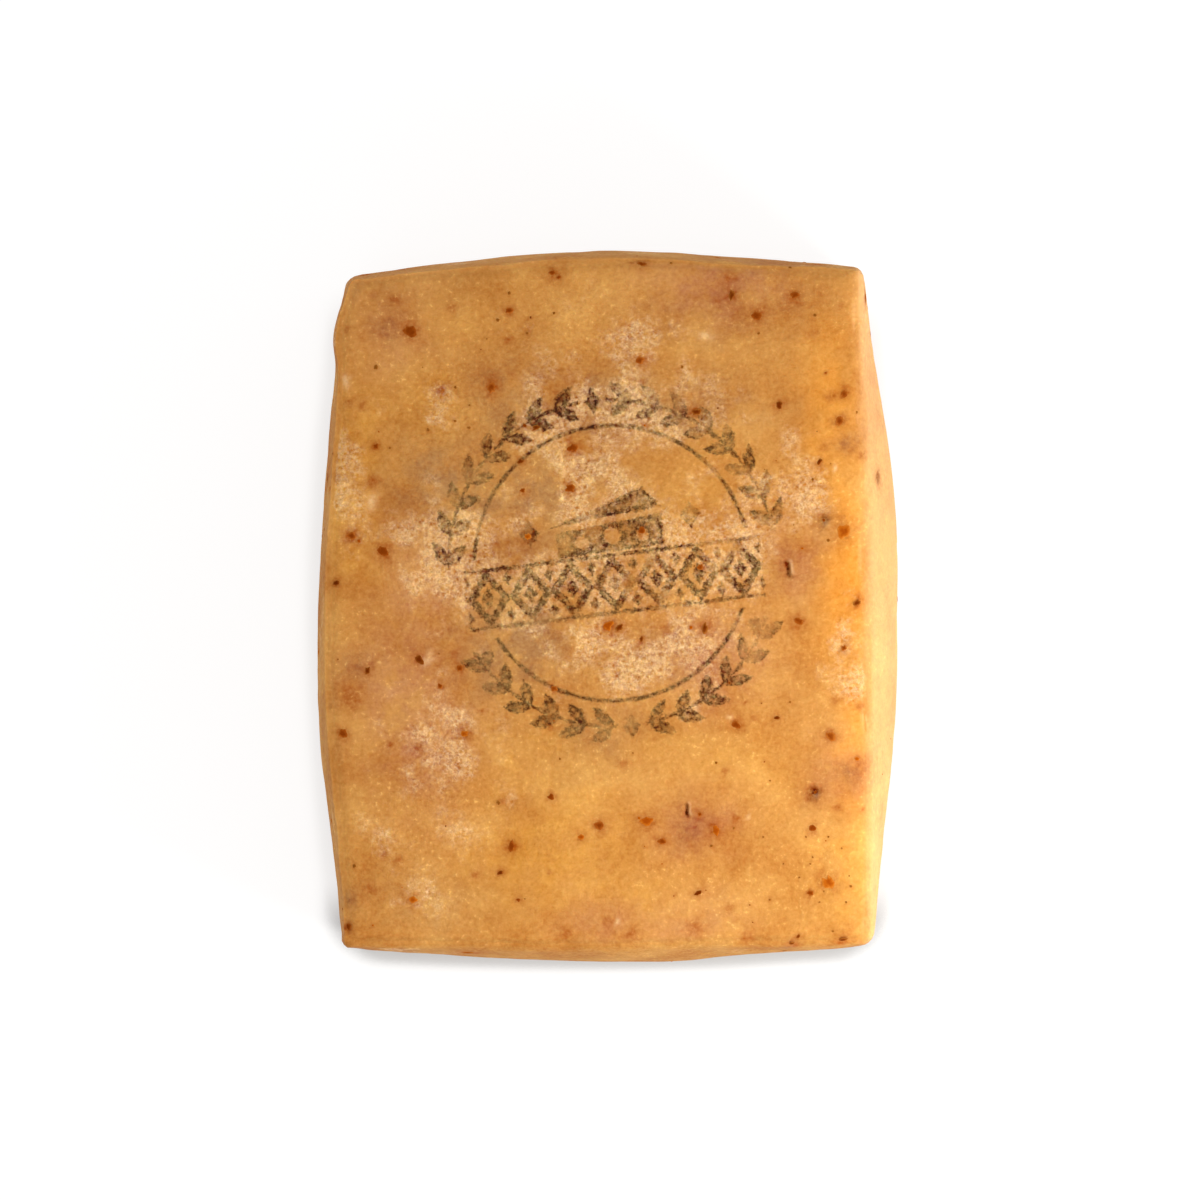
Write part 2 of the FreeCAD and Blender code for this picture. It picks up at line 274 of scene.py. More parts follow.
# Lozenges by half width and half height: the band's outlines, the solid ones inside them and
# between them, those beside the wedge, and those where the wreath's two halves meet.
OUTLINE_LOZENGE = (3.9, 5.2)
OUTLINE_HALF_WIDTH = 0.85
INNER_LOZENGE = (1.5, 2.2)
BETWEEN_LOZENGE = (1.1, 1.5)
BETWEEN_HEIGHT = 4.0  # above and below the band's middle
SIDE_LOZENGE = (2.3, 2.9)
SIDE_PLACES = ((-17.5, 8.6), (18.5, 8.6))
WREATH_LOZENGE = (1.8, 2.8)
RING_GAP = 8.8  # half height of the ring's gap at both ends of the band
INK_UNEVENNESS = 1.3  # how far the borders of the ink wander, but less on the ring
RING_UNEVENNESS = 0.45  # as a share of that
INK_COVER = 0.92
WEDGE_SCALE = 0.70  # of the drawing below
WEDGE_MIDDLE = (0.6, 9.0)
WEDGE_FRONT = ((-17.5, -9.5), (16.5, -9.0), (16.5, 1.2), (-17.5, -1.4))
WEDGE_TOP = ((-17.0, 0.8), (16.5, 3.4), (11.5, 10.0))
WEDGE_HOLES = (((-9.5, -5.4), 2.1), ((0.2, -4.2), 2.7), ((9.8, -5.0), 1.9))


# =========================================== mesh ==========================================
def perlin(points, size, shift, octaves=2):
    """Smooth noise, about -1 to 1, at each point. Each shift gives another set of bumps."""
    away = Vector((17.3 * shift, 5.1 * shift, 9.7 * shift))
    return np.array([noise.fractal(Vector(p) / size + away, 1.0, 2.1, octaves) for p in points])


def smooth_step(low, high, values):
    share = np.clip((values - low) / (high - low), 0.0, 1.0)
    return share * share * (3.0 - 2.0 * share)


def divide(shape, faces, cuts):
    edges = {edge for face in faces for edge in face.edges}
    bmesh.ops.subdivide_edges(shape, edges=list(edges), cuts=cuts, use_grid_fill=True)


def upper_faces(shape):
    rim = (TOP - RIM_DEPTH) * MM
    return [f for f in shape.faces if f.normal.z > 0.3 and f.calc_center_median().z > rim]


def even_mesh(source):
    """The source object's shape as an even mesh, finer on top, and finest round the marks."""
    piece = bpy.data.objects.new("even_mesh", source.data.copy())
    bpy.context.scene.collection.objects.link(piece)
    remesh = piece.modifiers.new("even", "REMESH")
    remesh.mode = "VOXEL"
    remesh.voxel_size = SKIN_VOXEL * MM
    graph = bpy.context.evaluated_depsgraph_get()
    mesh = bpy.data.meshes.new_from_object(piece.evaluated_get(graph))
    bpy.data.objects.remove(piece)
    mesh.materials.clear()

    shape = bmesh.new()
    shape.from_mesh(mesh)
    divide(shape, upper_faces(shape), 1)
    close = []
    sharp = [row[:3] for kind in SHARP_KINDS for row in MARKS[kind] if row[2] >= SHARP_SIZE]
    for face in upper_faces(shape):
        middle = face.calc_center_median() / MM
        if any(math.hypot(middle.x - x, middle.y - y) < 0.75 * size + 0.5 for x, y, size in sharp):
            close.append(face)
    divide(shape, close, 2)
    shape.to_mesh(mesh)
    shape.free()
    return mesh


def get_points(mesh):
    flat = np.empty(len(mesh.vertices) * 3)
    mesh.vertices.foreach_get("co", flat)
    return flat.reshape(-1, 3)


def set_points(mesh, points):
    mesh.vertices.foreach_set("co", points.ravel())
    mesh.update()


def get_normals(mesh):
    flat = np.empty(len(mesh.vertices) * 3)
    mesh.vertex_normals.foreach_get("vector", flat)
    return flat.reshape(-1, 3)


def tree_of(mesh):
    faces = [tuple(face.vertices) for face in mesh.polygons]
    return BVHTree.FromPolygons([vertex.co for vertex in mesh.vertices], faces)


def seat_on(mesh, source):
    """Moves the mesh's vertices onto the source's surface, then smooths them a little."""
    tree = tree_of(source.data)
    seats = np.array([tree.find_nearest(v.co)[0] for v in mesh.vertices])
    ends = np.empty(len(mesh.edges) * 2, dtype=np.int64)
    mesh.edges.foreach_get("vertices", ends)
    a, b = ends.reshape(-1, 2).T
    degree = np.bincount(np.concatenate([a, b]), minlength=len(seats))[:, None]
    points = seats.copy()
    for _ in range(SKIN_SMOOTHING):
        total = np.zeros_like(points)
        np.add.at(total, a, points[b])
        np.add.at(total, b, points[a])
        points += SMOOTHING_SHARE * (total / degree - points)
    moves = points - seats
    reach = np.linalg.norm(moves, axis=1, keepdims=True)
    points = seats + moves * np.minimum(1.0, SMOOTHING_REACH * MM / np.maximum(reach, 1e-9))
    points[:, 2] = np.maximum(points[:, 2], 0.0)
    set_points(mesh, points)


Spot = namedtuple("Spot", "place normal size kind turn")


def spots_on(mesh):
    """Where every flake, pit, crack and stain lies on the skin."""
    tree = tree_of(mesh)
    spots = []
    for kind, rows in MARKS.items():
        for x, y, size, turn in rows:
            above = Vector((x * MM, y * MM, (TOP + 10) * MM))
            place, normal, _, _ = tree.ray_cast(above, Vector((0, 0, -1)))
            if place is not None:
                spots.append(Spot(place, normal, size, kind, turn))
    areas = [p.area for p in mesh.polygons]
    count = int(sum(areas) / 0.01 * LOOSE_PER_DM2)
    small, large = LOOSE_SIZES
    top_power, wall_power = LOOSE_POWERS
    for index in RNG.choices(range(len(areas)), weights=areas, k=count):
        face = mesh.polygons[index]
        on_wall = face.normal.z < 0.5
        size = small + (large - small) * RNG.random() ** (wall_power if on_wall else top_power)
        kind = RNG.choice(LOOSE_KINDS)
        turn = RNG.uniform(0, 360)
        if on_wall and RNG.random() < WALL_MARK_SHARE:
            kind = RNG.choice(WALL_MARK_KINDS)
            size = WALL_MARK_SIZE + WALL_MARK_SPREAD * RNG.random()
        if face.center.z > 1.0 * MM:
            spots.append(Spot(face.center.copy(), face.normal.copy(), size, kind, turn))
    return spots


def spot_axes(spot):
    """Directions along and across a spot, in the skin. On the top face, along starts from x."""
    start = Vector((1, 0, 0)) if abs(spot.normal.x) < 0.8 else Vector((0, 1, 0))
    along = start - start.dot(spot.normal) * spot.normal
    along = Matrix.Rotation(math.radians(spot.turn), 3, spot.normal) @ along.normalized()
    return along, spot.normal.cross(along)


def bell(distance, reach):
    return math.exp(-(distance / reach) ** 2) if reach > 0 else 0.0


def mark_fields(points, spots):
    """Per vertex: depth of holes, and strengths of stains, halos, cream with painted highlights, and
    painted shade in slits and pits.
    """
    tree = KDTree(len(points))
    for index, point in enumerate(points):
        tree.insert(point, index)
    tree.balance()
    fields = {name: np.zeros(len(points)) for name in ("hole", "stain", "halo", "pale", "slit_shade")}

    def raise_to(name, index, value):
        fields[name][index] = max(fields[name][index], value)

    for spot in spots:
        effect = EFFECTS[spot.kind]
        along, across = spot_axes(spot)
        reach = MARK_REACH * spot.size * MM + MARK_MARGIN * MM
        for place, index, _ in tree.find_range(spot.place, reach):
            offset = (place - spot.place) / (spot.size * MM)
            run, side = offset.dot(along), offset.dot(across)
            away = math.hypot(run / effect.long, side)
            bearing = Vector((run, side, 0.0)).normalized()
            own = Vector((0.0, 0.0, 100.0 * spot.place.x))
            away *= 1.0 + MARK_UNEVENNESS * noise.noise(1.2 * bearing + own)
            raise_to("stain", index, effect.stain * bell(away, effect.stain_reach))
            raise_to("halo", index, effect.halo * bell(away, effect.halo_reach))
            if spot.kind == "pit":
                # Painted highlight on the pit's lit rim.
                lit_side = math.hypot(run - 0.08, side + 0.22)
                raise_to("pale", index, effect.pale * bell(lit_side, effect.pale_reach))
                # Painted shade inside the pit.
                raise_to("slit_shade", index, 0.8 * bell(away, 0.40))
                fields["hole"][index] += effect.hole * bell(away, PIT_RADIUS)
            elif spot.kind == "crack":
                line = max(0.0, 1.0 - (run / CRACK_HALF_LENGTH) ** 2)
                bent = side + 0.12 * math.sin(5.0 * run)
                # Painted shade inside the split.
                raise_to("slit_shade", index, line * bell(bent, 0.14))
                # Painted highlight along the split's lit edge.
                raise_to("pale", index, effect.pale * line * bell(bent - 0.25, 0.6 * effect.pale_reach))
                fields["hole"][index] += effect.hole * line * bell(bent, CRACK_HALF_WIDTH)
            else:
                raise_to("pale", index, effect.pale * bell(away, effect.pale_reach))
                fields["hole"][index] += effect.hole * bell(away, 0.5)
    return fields


def zone_fields(points, normals):
    """Per vertex: how strongly each colour zone of the top face shows, with uneven borders."""
    wave, drift = ZONE_DRIFT
    drift_x = drift * perlin(points, wave, 31, 3)
    drift_y = drift * perlin(points, wave, 32, 3)
    facing = smooth_step(0.5, 0.9, normals[:, 2])
    fields = {}
    for name, rows in ZONES.items():
        value = np.zeros(len(points))
        for x, y, reach_x, reach_y, strength in rows:
            across = (points[:, 0] + drift_x - x) / reach_x
            along = (points[:, 1] + drift_y - y) / reach_y
            value = np.maximum(value, strength * np.exp(-(across ** 2 + along ** 2)))
        fields[name] = value * facing
    on_wall = smooth_step(0.4, 0.1, np.abs(normals[:, 2]))
    fields["bloom"] += WALL_BLOOM * on_wall * smooth_step(-0.3, 0.7, perlin(points, 30.0, 33, 3))
    return fields


def wrinkle_field(points, normals):
    """Per vertex: strength of the fine level wrinkles that the mould cloth left on the walls."""
    wall = smooth_step(0.5, 0.15, np.abs(normals[:, 2]))
    ridges = np.abs(perlin(points * np.array([1.0, 1.0, WRINKLE_FLATNESS]), WRINKLE_LENGTH, 3, 3))
    patches = smooth_step(0.0, 0.5, perlin(points, 2.0 * WRINKLE_LENGTH, 4, 2))
    return wall * patches * smooth_step(0.12, 0.0, ridges)


def corner_push(normals):
    """Per vertex: the way the four upright corners move outwards."""
    flat = normals[:, :2] / np.maximum(np.linalg.norm(normals[:, :2], axis=1, keepdims=True), 1e-6)
    level = smooth_step(0.9, 0.5, np.abs(normals[:, 2]))
    push = np.zeros_like(normals)
    for sign_x, sign_y, height in CORNER_PUSHES:
        outward = np.array([sign_x, sign_y]) / math.sqrt(2.0)
        weight = height * level * smooth_step(0.84, 1.0, flat @ outward)
        push[:, :2] += weight[:, None] * outward
    return push


def relief_field(points, normals):
    """Per vertex: how far the skin lies off the CAD surface, from its waves and lumps."""
    on_top = smooth_step(0.3, 0.8, normals[:, 2])
    relief = -WALL_INSET - (TOP_INSET - WALL_INSET) * on_top
    for index, (size, height) in enumerate(WAVES):
        relief += height * perlin(points, size, 10 + index)
    size, depth = RIM_BITES
    near_rim = smooth_step(TOP - 7.0, TOP - 2.0, points[:, 2])
    near_rim *= smooth_step(0.97, 0.75, normals[:, 2])
    relief -= depth * near_rim * np.maximum(0.0, perlin(points, size, 20, 3))
    for x, y, z, reach, height in LUMPS:
        away = np.linalg.norm(points - np.array([x, y, z]), axis=1)
        relief += height * (1.0 - on_top) * np.exp(-(away / reach) ** 2)
    return relief * smooth_step(0.0, FLAT_FOOT, points[:, 2])


def add_attribute(mesh, name, values):
    layer = mesh.attributes.new(name, "FLOAT", "POINT")
    layer.data.foreach_set("value", np.asarray(values, dtype=np.float32))


def link_piece(name, mesh):
    piece = bpy.data.objects.new(name, mesh)
    bpy.context.scene.collection.objects.link(piece)
    return piece


def cheese_body():
    """The block's whole visible skin as one closed mesh. Returns the piece and its spots."""
    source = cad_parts[NODE]
    mesh = even_mesh(source)
    seat_on(mesh, source)
    spots = spots_on(mesh)
    places = get_points(mesh)
    normals = get_normals(mesh)
    points = places / MM

    fields = mark_fields(places, spots)
    fields["wrinkle"] = wrinkle_field(points, normals)
    relief = relief_field(points, normals) - fields.pop("hole")
    relief -= WRINKLE_DEPTH * fields["wrinkle"]
    moved = points + normals * relief[:, None] + corner_push(normals)
    low, high = np.array(CAD_LOW) / MM, np.array(CAD_HIGH) / MM
    set_points(mesh, np.clip(moved, low, high) * MM)

    fields.update(zone_fields(points, normals))
    for name, values in fields.items():
        add_attribute(mesh, name, values)
    mesh.shade_smooth()
    return link_piece("cheese_body", mesh), spots


FLAKE_CORNERS = 12
FLAKE_RINGS = ((1.0, -0.10), (0.80, 0.02), (0.50, 0.05), (0.22, 0.06))  # share of radius, height
FLAKE_LIFT = 0.03  # how far the flakes stand out of the skin, on top of those heights
FLAKE_UNEVENNESS = 0.45  # how much their outlines wander


def flake_shape(target, place, spot, size, chooser):
    """One chilli flake: an uneven, slightly domed chip, pressed most of the way in."""
    along, across = spot_axes(spot)
    longer = EFFECTS[spot.kind].long * chooser.uniform(0.9, 1.12)
    seed = Vector((chooser.uniform(0, 99), chooser.uniform(0, 99), 0.0))
    core = target.verts.layers.float["core"]
    tone = target.verts.layers.float["tone"]
    shade = chooser.random()
    rings = []
    for share, height in FLAKE_RINGS:
        ring = []
        for corner in range(FLAKE_CORNERS):
            angle = 2 * math.pi * corner / FLAKE_CORNERS
            turn = Vector((math.cos(angle), math.sin(angle), 0.0))
            wander = noise.noise(seed + 1.1 * turn) + noise.noise(seed + 2.6 * turn)
            radius = 0.5 * size * MM * share * (1.0 + FLAKE_UNEVENNESS * wander)
            offset = along * (radius * longer * turn.x) + across * (radius / longer * turn.y)
            vertex = target.verts.new(place + offset + spot.normal * (height + FLAKE_LIFT) * MM)
            vertex[core] = 1.0 - share
            vertex[tone] = shade
            ring.append(vertex)
        rings.append(ring)
    for outer, inner in zip(rings, rings[1:]):
        for corner in range(FLAKE_CORNERS):
            after = (corner + 1) % FLAKE_CORNERS
            target.faces.new((outer[corner], outer[after], inner[after], inner[corner]))
    target.faces.new(rings[-1])
    target.faces.new(rings[0][::-1])


def flakes(name, body, spots, sizes):
    """Flakes of one colour as one joined mesh on the finished skin, sized by kind of mark."""
    tree = tree_of(body.data)
    chooser = random.Random(SEED + len(name))
    shape = bmesh.new()
    shape.verts.layers.float.new("core")
    shape.verts.layers.float.new("tone")
    for spot in spots:
        if spot.kind in sizes:
            place = tree.find_nearest(spot.place)[0]
            flake_shape(shape, place, spot, spot.size * sizes[spot.kind], chooser)
    mesh = bpy.data.meshes.new(name)
    shape.to_mesh(mesh)
    shape.free()
    return link_piece(name, mesh)


# ========================================= materials =======================================
def linear(red, green, blue):
    """A colour given as 0 to 255 screen values, as the linear colour a shader takes."""
    channels = []
    for value in (red, green, blue):
        share = value / 255
        channels.append(share / 12.92 if share <= 0.04045 else ((share + 0.055) / 1.055) ** 2.4)
    return (*channels, 1.0)


class Graph:
    """Short ways to build one material's node tree. Values may be numbers or sockets."""

    def __init__(self, name):
        self.material = bpy.data.materials.new(name)
        self.material.use_nodes = True
        self.tree = self.material.node_tree
        self.shader = self.tree.nodes["Principled BSDF"]

    def put(self, socket, value):
        if isinstance(value, bpy.types.NodeSocket):
            self.tree.links.new(value, socket)
        else:
            socket.default_value = value

    def math(self, operation, *values, clamp=False):
        node = self.tree.nodes.new("ShaderNodeMath")
        node.operation = operation
        node.use_clamp = clamp
        for socket, value in zip(node.inputs, values):
            self.put(socket, value)
        return node.outputs[0]

    def vector(self, operation, *values, scale=None):
        node = self.tree.nodes.new("ShaderNodeVectorMath")
        node.operation = operation
        for socket, value in zip(node.inputs, values):
            self.put(socket, value)
        if scale is not None:
            self.put(node.inputs["Scale"], scale)
        return node.outputs[0]

    def place(self):
        """The surface point in millimetres, in the block's own frame."""
        node = self.tree.nodes.new("ShaderNodeTexCoord")
        return self.vector("SCALE", node.outputs["Object"], scale=1.0 / MM)

    def parts(self, vector):
        node = self.tree.nodes.new("ShaderNodeSeparateXYZ")
        self.put(node.inputs[0], vector)
        return node.outputs

    def attribute(self, name):
        node = self.tree.nodes.new("ShaderNodeAttribute")
        node.attribute_name = name
        return node.outputs["Fac"]

    def noise(self, vector, size, detail=2.0, roughness=0.5, distortion=0.0):
        """Noise from 0 to 1 with bumps of about the given size."""
        node = self.tree.nodes.new("ShaderNodeTexNoise")
        self.put(node.inputs["Vector"], vector)
        node.inputs["Scale"].default_value = 1.0 / size
        node.inputs["Detail"].default_value = detail
        node.inputs["Roughness"].default_value = roughness
        node.inputs["Distortion"].default_value = distortion
        return node.outputs["Fac"]

    def centred(self, vector, size, detail=2.0, roughness=0.5):
        """The same noise, from -0.5 to 0.5."""
        return self.less(self.noise(vector, size, detail, roughness), 0.5)

    def cells(self, vector, size):
        """Distance from the middle of the nearest uneven cell, as a share of the cells' size."""
        node = self.tree.nodes.new("ShaderNodeTexVoronoi")
        self.put(node.inputs["Vector"], vector)
        node.inputs["Scale"].default_value = 1.0 / size
        return node.outputs["Distance"]

    def remap(self, value, low, high, to_low=0.0, to_high=1.0):
        """A smooth step from to_low, where the value is low, to to_high, where it is high."""
        node = self.tree.nodes.new("ShaderNodeMapRange")
        node.interpolation_type = "SMOOTHSTEP"
        for name, number in (("Value", value), ("From Min", low), ("From Max", high),
                             ("To Min", to_low), ("To Max", to_high)):
            self.put(node.inputs[name], number)
        return node.outputs[0]

    def mix(self, share, first, second):
        """Two colours mixed. A mix node's colour sockets are inputs 6 and 7, and output 2."""
        node = self.tree.nodes.new("ShaderNodeMix")
        node.data_type = "RGBA"
        self.put(node.inputs[0], share)
        self.put(node.inputs[6], first)
        self.put(node.inputs[7], second)
        return node.outputs[2]

    def bump(self, height):
        """A bumped normal from a height in millimetres."""
        node = self.tree.nodes.new("ShaderNodeBump")
        node.inputs["Strength"].default_value = 1.0
        node.inputs["Distance"].default_value = MM
        self.put(node.inputs["Height"], height)
        return node.outputs[0]

    def together(self, operation, values):
        """One value out of several, by an operation on two at a time."""
        total = values[0]
        for value in values[1:]:
            total = self.math(operation, total, value)
        return total

    def sum(self, *values):
        return self.together("ADD", values)

    def product(self, *values):
        return self.together("MULTIPLY", values)

    def union(self, *distances):
        """Union of shapes given as distances."""
        return self.together("MINIMUM", distances)

    def overlap(self, *distances):
        """Overlap of shapes given as distances."""
        return self.together("MAXIMUM", distances)

    def less(self, value, taken):
        return self.math("SUBTRACT", value, taken)

    def absolute(self, value):
        return self.math("ABSOLUTE", value)


def turned(graph, x, y, degrees):
    """x and y after the plane has turned counterclockwise by degrees."""
    cosine, sine = math.cos(math.radians(degrees)), math.sin(math.radians(degrees))
    along = graph.sum(graph.product(x, cosine), graph.product(y, sine))
    up = graph.less(graph.product(y, cosine), graph.product(x, sine))
    return along, up


def beyond(graph, value, middle, half):
    """How far a value lies outside the stretch of the given half width round the middle."""
    return graph.less(graph.absolute(graph.less(value, middle)), half)


def half_plane(graph, x, y, start, end):
    """Distance to the line from start to end; below zero on its left."""
    run_x, run_y = end[0] - start[0], end[1] - start[1]
    length = math.hypot(run_x, run_y)
    side_x, side_y = run_y / length, -run_x / length
    far = start[0] * side_x + start[1] * side_y
    along = graph.sum(graph.product(x, side_x), graph.product(y, side_y))
    return graph.less(along, far)


def polygon(graph, x, y, corners):
    """Distance to a convex shape with the given corners, counterclockwise."""
    sides = []
    for index, corner in enumerate(corners):
        sides.append(half_plane(graph, x, y, corner, corners[(index + 1) % len(corners)]))
    return graph.overlap(*sides)


def distance_from(graph, x, y, centre):
    shift_x = graph.less(x, centre[0])
    shift_y = graph.less(y, centre[1])
    squares = graph.sum(graph.product(shift_x, shift_x), graph.product(shift_y, shift_y))
    return graph.math("SQRT", squares)


def lozenge(graph, x, y, centre, half_width, half_height):
    shift_x = graph.absolute(graph.less(x, centre[0]))
    shift_y = graph.absolute(graph.less(y, centre[1]))
    per_x, per_y = 1.0 / half_width, 1.0 / half_height
    share = graph.sum(graph.product(shift_x, per_x), graph.product(shift_y, per_y))
    return graph.product(graph.less(share, 1.0), 1.0 / math.hypot(per_x, per_y))


def wedge_picture(graph, x, y):
    """A wedge of cheese seen from the front, as distances: a top, and a front with holes."""
    x = graph.product(graph.less(x, WEDGE_MIDDLE[0]), 1.0 / WEDGE_SCALE)
    y = graph.product(graph.less(y, WEDGE_MIDDLE[1]), 1.0 / WEDGE_SCALE)
    front = polygon(graph, x, y, WEDGE_FRONT)
    for centre, radius in WEDGE_HOLES:
        away = distance_from(graph, x, y, centre)
        front = graph.overlap(front, graph.less(radius, away))
    return graph.product(graph.union(front, polygon(graph, x, y, WEDGE_TOP)), WEDGE_SCALE)


def wreath_picture(graph, x, y, radius):
    """Pairs of leaves on a thin stem along a circle, growing up both sides from the bottom."""
    cell = 360.0 / LEAF_CELLS
    per_degree = math.radians(1.0) * WREATH_RADIUS
    bearing = graph.math("ARCTAN2", graph.absolute(x), graph.product(y, -1.0))
    degrees = graph.product(bearing, 180.0 / math.pi)
    number = graph.math("ROUND", graph.math("DIVIDE", degrees, cell))
    within = graph.less(degrees, graph.product(number, cell))
    across = graph.less(radius, WREATH_RADIUS)
    side = graph.less(graph.absolute(across), LEAF_OFFSET)
    lengthwise, sideways = turned(graph, graph.product(within, per_degree), side, LEAF_LEAN)
    share = graph.math("DIVIDE", lengthwise, 0.5 * LEAF_LENGTH)
    width = graph.product(graph.less(1.0, graph.product(share, share)), 0.5 * LEAF_WIDTH)
    leaf = graph.less(graph.absolute(sideways), width)
    stem = graph.less(graph.absolute(across), STEM_HALF_WIDTH)
    ends = graph.product(beyond(graph, degrees, 90.0, 90.0 - WREATH_BREAK), per_degree)
    gap = graph.product(beyond(graph, y, *WREATH_GAP), -1.0)
    return graph.overlap(graph.union(leaf, stem), ends, gap)


def band_picture(graph, x, y):
    """A row of lozenges between two thin rules, across the middle of the stamp."""
    y = graph.less(y, BAND_MIDDLE)
    number = graph.math("ROUND", graph.math("DIVIDE", x, BAND_CELL))
    within = graph.less(x, graph.product(number, BAND_CELL))
    outline = graph.absolute(lozenge(graph, within, y, (0.0, 0.0), *OUTLINE_LOZENGE))
    outline = graph.less(outline, OUTLINE_HALF_WIDTH)
    inner = lozenge(graph, within, y, (0.0, 0.0), *INNER_LOZENGE)
    to_next = graph.less(0.5 * BAND_CELL, graph.absolute(within))
    off_middle = graph.absolute(y)
    between = lozenge(graph, to_next, off_middle, (0.0, BETWEEN_HEIGHT), *BETWEEN_LOZENGE)
    rules = graph.absolute(beyond(graph, y, 0.0, BAND_HALF_HEIGHT))
    rules = graph.less(rules, RULE_HALF_WIDTH)
    row = graph.union(outline, inner, between, rules)
    return graph.overlap(row, beyond(graph, x, 0.0, BAND_HALF_WIDTH))


def stamp_ink(graph, place):
    """How much ink covers each point, from 0 to 1: dark at the edges, worn in between."""
    x, y, z = graph.parts(place)
    x = graph.less(x, STAMP_CENTRE[0])
    y = graph.less(y, STAMP_CENTRE[1])
    x, y = turned(graph, x, y, STAMP_TURN)
    radius = distance_from(graph, x, y, (0.0, 0.0))
    ring = beyond(graph, radius, RING_RADIUS, 0.5 * RING_LINE)
    gap = graph.product(beyond(graph, y, BAND_MIDDLE, RING_GAP), -1.0)
    shapes = [wedge_picture(graph, x, y), band_picture(graph, x, y)]
    shapes.append(wreath_picture(graph, x, y, radius))
    for centre in SIDE_PLACES:
        shapes.append(lozenge(graph, x, y, centre, *SIDE_LOZENGE))
    for side in (-1.0, 1.0):
        shapes.append(lozenge(graph, x, y, (0.0, side * WREATH_RADIUS), *WREATH_LOZENGE))
    uneven = graph.sum(graph.centred(place, 2.2, 2.0), graph.centred(place, 0.7, 1.0))
    uneven = graph.product(uneven, INK_UNEVENNESS)
    distance = graph.sum(graph.union(*shapes), uneven)
    arcs = graph.sum(graph.overlap(ring, gap), graph.product(uneven, RING_UNEVENNESS))
    distance = graph.union(distance, arcs)
    solid = graph.remap(distance, 0.30, -0.30)
    inner = graph.remap(distance, -0.5, -1.7, 1.0, 0.62)
    apart = graph.vector("ADD", place, (61.0, 17.0, 0.0))
    worn = graph.remap(graph.noise(apart, 8.0, 3.0, 0.6), 0.34, 0.52, 0.40, 1.0)
    speckle = graph.remap(graph.noise(place, 1.1, 3.0, 0.7), 0.36, 0.58, 0.35, 1.0)
    upper = graph.remap(z, TOP - 4.0, TOP - 3.0)
    return graph.product(solid, inner, worn, speckle, upper)


# ---- the skin's colours -------------------------------------------------------------------
CURD_SHADES = (linear(194, 130, 60), linear(204, 143, 71))
ZONE_STRENGTH = 0.85
ZONE_SHADES = {
    "dull": linear(168, 116, 68), "rosy": linear(188, 124, 82), "gold": linear(210, 147, 66),
}
# Partly painted light: the orange beside the right rim, where the key light rakes it.
LIT_RIM_ORANGE = linear(232, 152, 54)
WALL_SHADE = linear(182, 122, 64)
# Painted light: the paler colour of the right rim and wall, where the key light falls.
PAINTED_RIGHT_LIGHT = linear(230, 172, 112)
FROST_SHADE = linear(236, 196, 146)
INK_SHADE = linear(80, 48, 14)
WRINKLE_SHADE = linear(146, 84, 40)
# What the marks leave: the field, how strongly it covers, and its colour.
TRACES = (
    ("stain", 0.60, linear(146, 86, 54)), ("halo", 0.90, linear(166, 86, 24)),
    # The cream is partly painted highlights, and the darkest brown is painted shade inside slits and
    # pits.
    ("pale", 0.80, linear(240, 196, 142)), ("slit_shade", 1.0, linear(84, 26, 2)),
)
GRAIN = (0.16, 0.125, 0.043)  # how much a full step of the grain adds to each channel
DARKEST = (0.045, 0.013, 0.002)  # no place is darker, so that slits stay a warm brown


def lace(graph, place, size):
    """A net of thin lines, about size apart: where noise crosses its middle level."""
    return graph.remap(graph.absolute(graph.centred(place, size, 2.0, 0.6)), 0.075, 0.0)


def curd_colour(graph, place, side, back, up):
    """Golden curd with its colour zones, and the tones of its rims and walls, among them painted
    light and shade. side, back and up say how far the surface faces right, back and up."""
    broad = graph.noise(place, 30.0, 3.0, 0.55, 0.3)
    colour = graph.mix(graph.remap(broad, 0.34, 0.66), *CURD_SHADES)
    ragged = graph.remap(graph.noise(place, 5.0, 4.0, 0.62), 0.30, 0.70, 0.35, 1.55)
    for name, shade in ZONE_SHADES.items():
        strength = graph.product(graph.attribute(name), ragged, ZONE_STRENGTH)
        colour = graph.mix(strength, colour, shade)
    # The orange beside the right rim, partly painted light.
    colour = graph.mix(graph.product(graph.attribute("glow"), 0.8), colour, LIT_RIM_ORANGE)

    # Duller walls, and a right side painted paler: painted light where the key light falls.
    wall = graph.remap(up, 0.42, 0.12)
    colour = graph.mix(graph.product(wall, 0.5), colour, WALL_SHADE)
    right = graph.product(graph.remap(side, 0.05, 0.85), graph.remap(up, 0.995, 0.45), 0.85)
    colour = graph.mix(right, colour, PAINTED_RIGHT_LIGHT)

    # Painted light and shade: away from the key light the rims are painted lighter and the walls darker.
    # The front is painted darker too.
    away = graph.sum(graph.product(side, -0.8), graph.product(back, 0.6))
    shoulder = graph.product(graph.remap(up, 0.995, 0.80), graph.remap(up, 0.30, 0.60))
    painted_rim_light = graph.product(shoulder, graph.remap(away, 0.05, 0.40), 0.20)
    painted_wall_shade = graph.product(wall, graph.remap(away, 0.2, 0.6), -0.10)
    # Painted shade on the surfaces that face the front.
    front = graph.product(graph.remap(back, -0.15, -0.60), -0.14)
    return graph.vector("SCALE", colour, scale=graph.sum(painted_rim_light, painted_wall_shade, front, 1.0))


def flake_traces(graph, place, colour):
    """Adds brown stains, warm halos, cream spots with painted highlights, and the painted shade inside
    slits and pits.
    """
    ragged = graph.remap(graph.noise(place, 1.3, 3.0, 0.65), 0.25, 0.75, 0.45, 1.45)
    for name, share, shade in TRACES:
        field = graph.product(graph.attribute(name), share)
        colour = graph.mix(graph.math("MULTIPLY", field, ragged, clamp=True), colour, shade)
    return colour


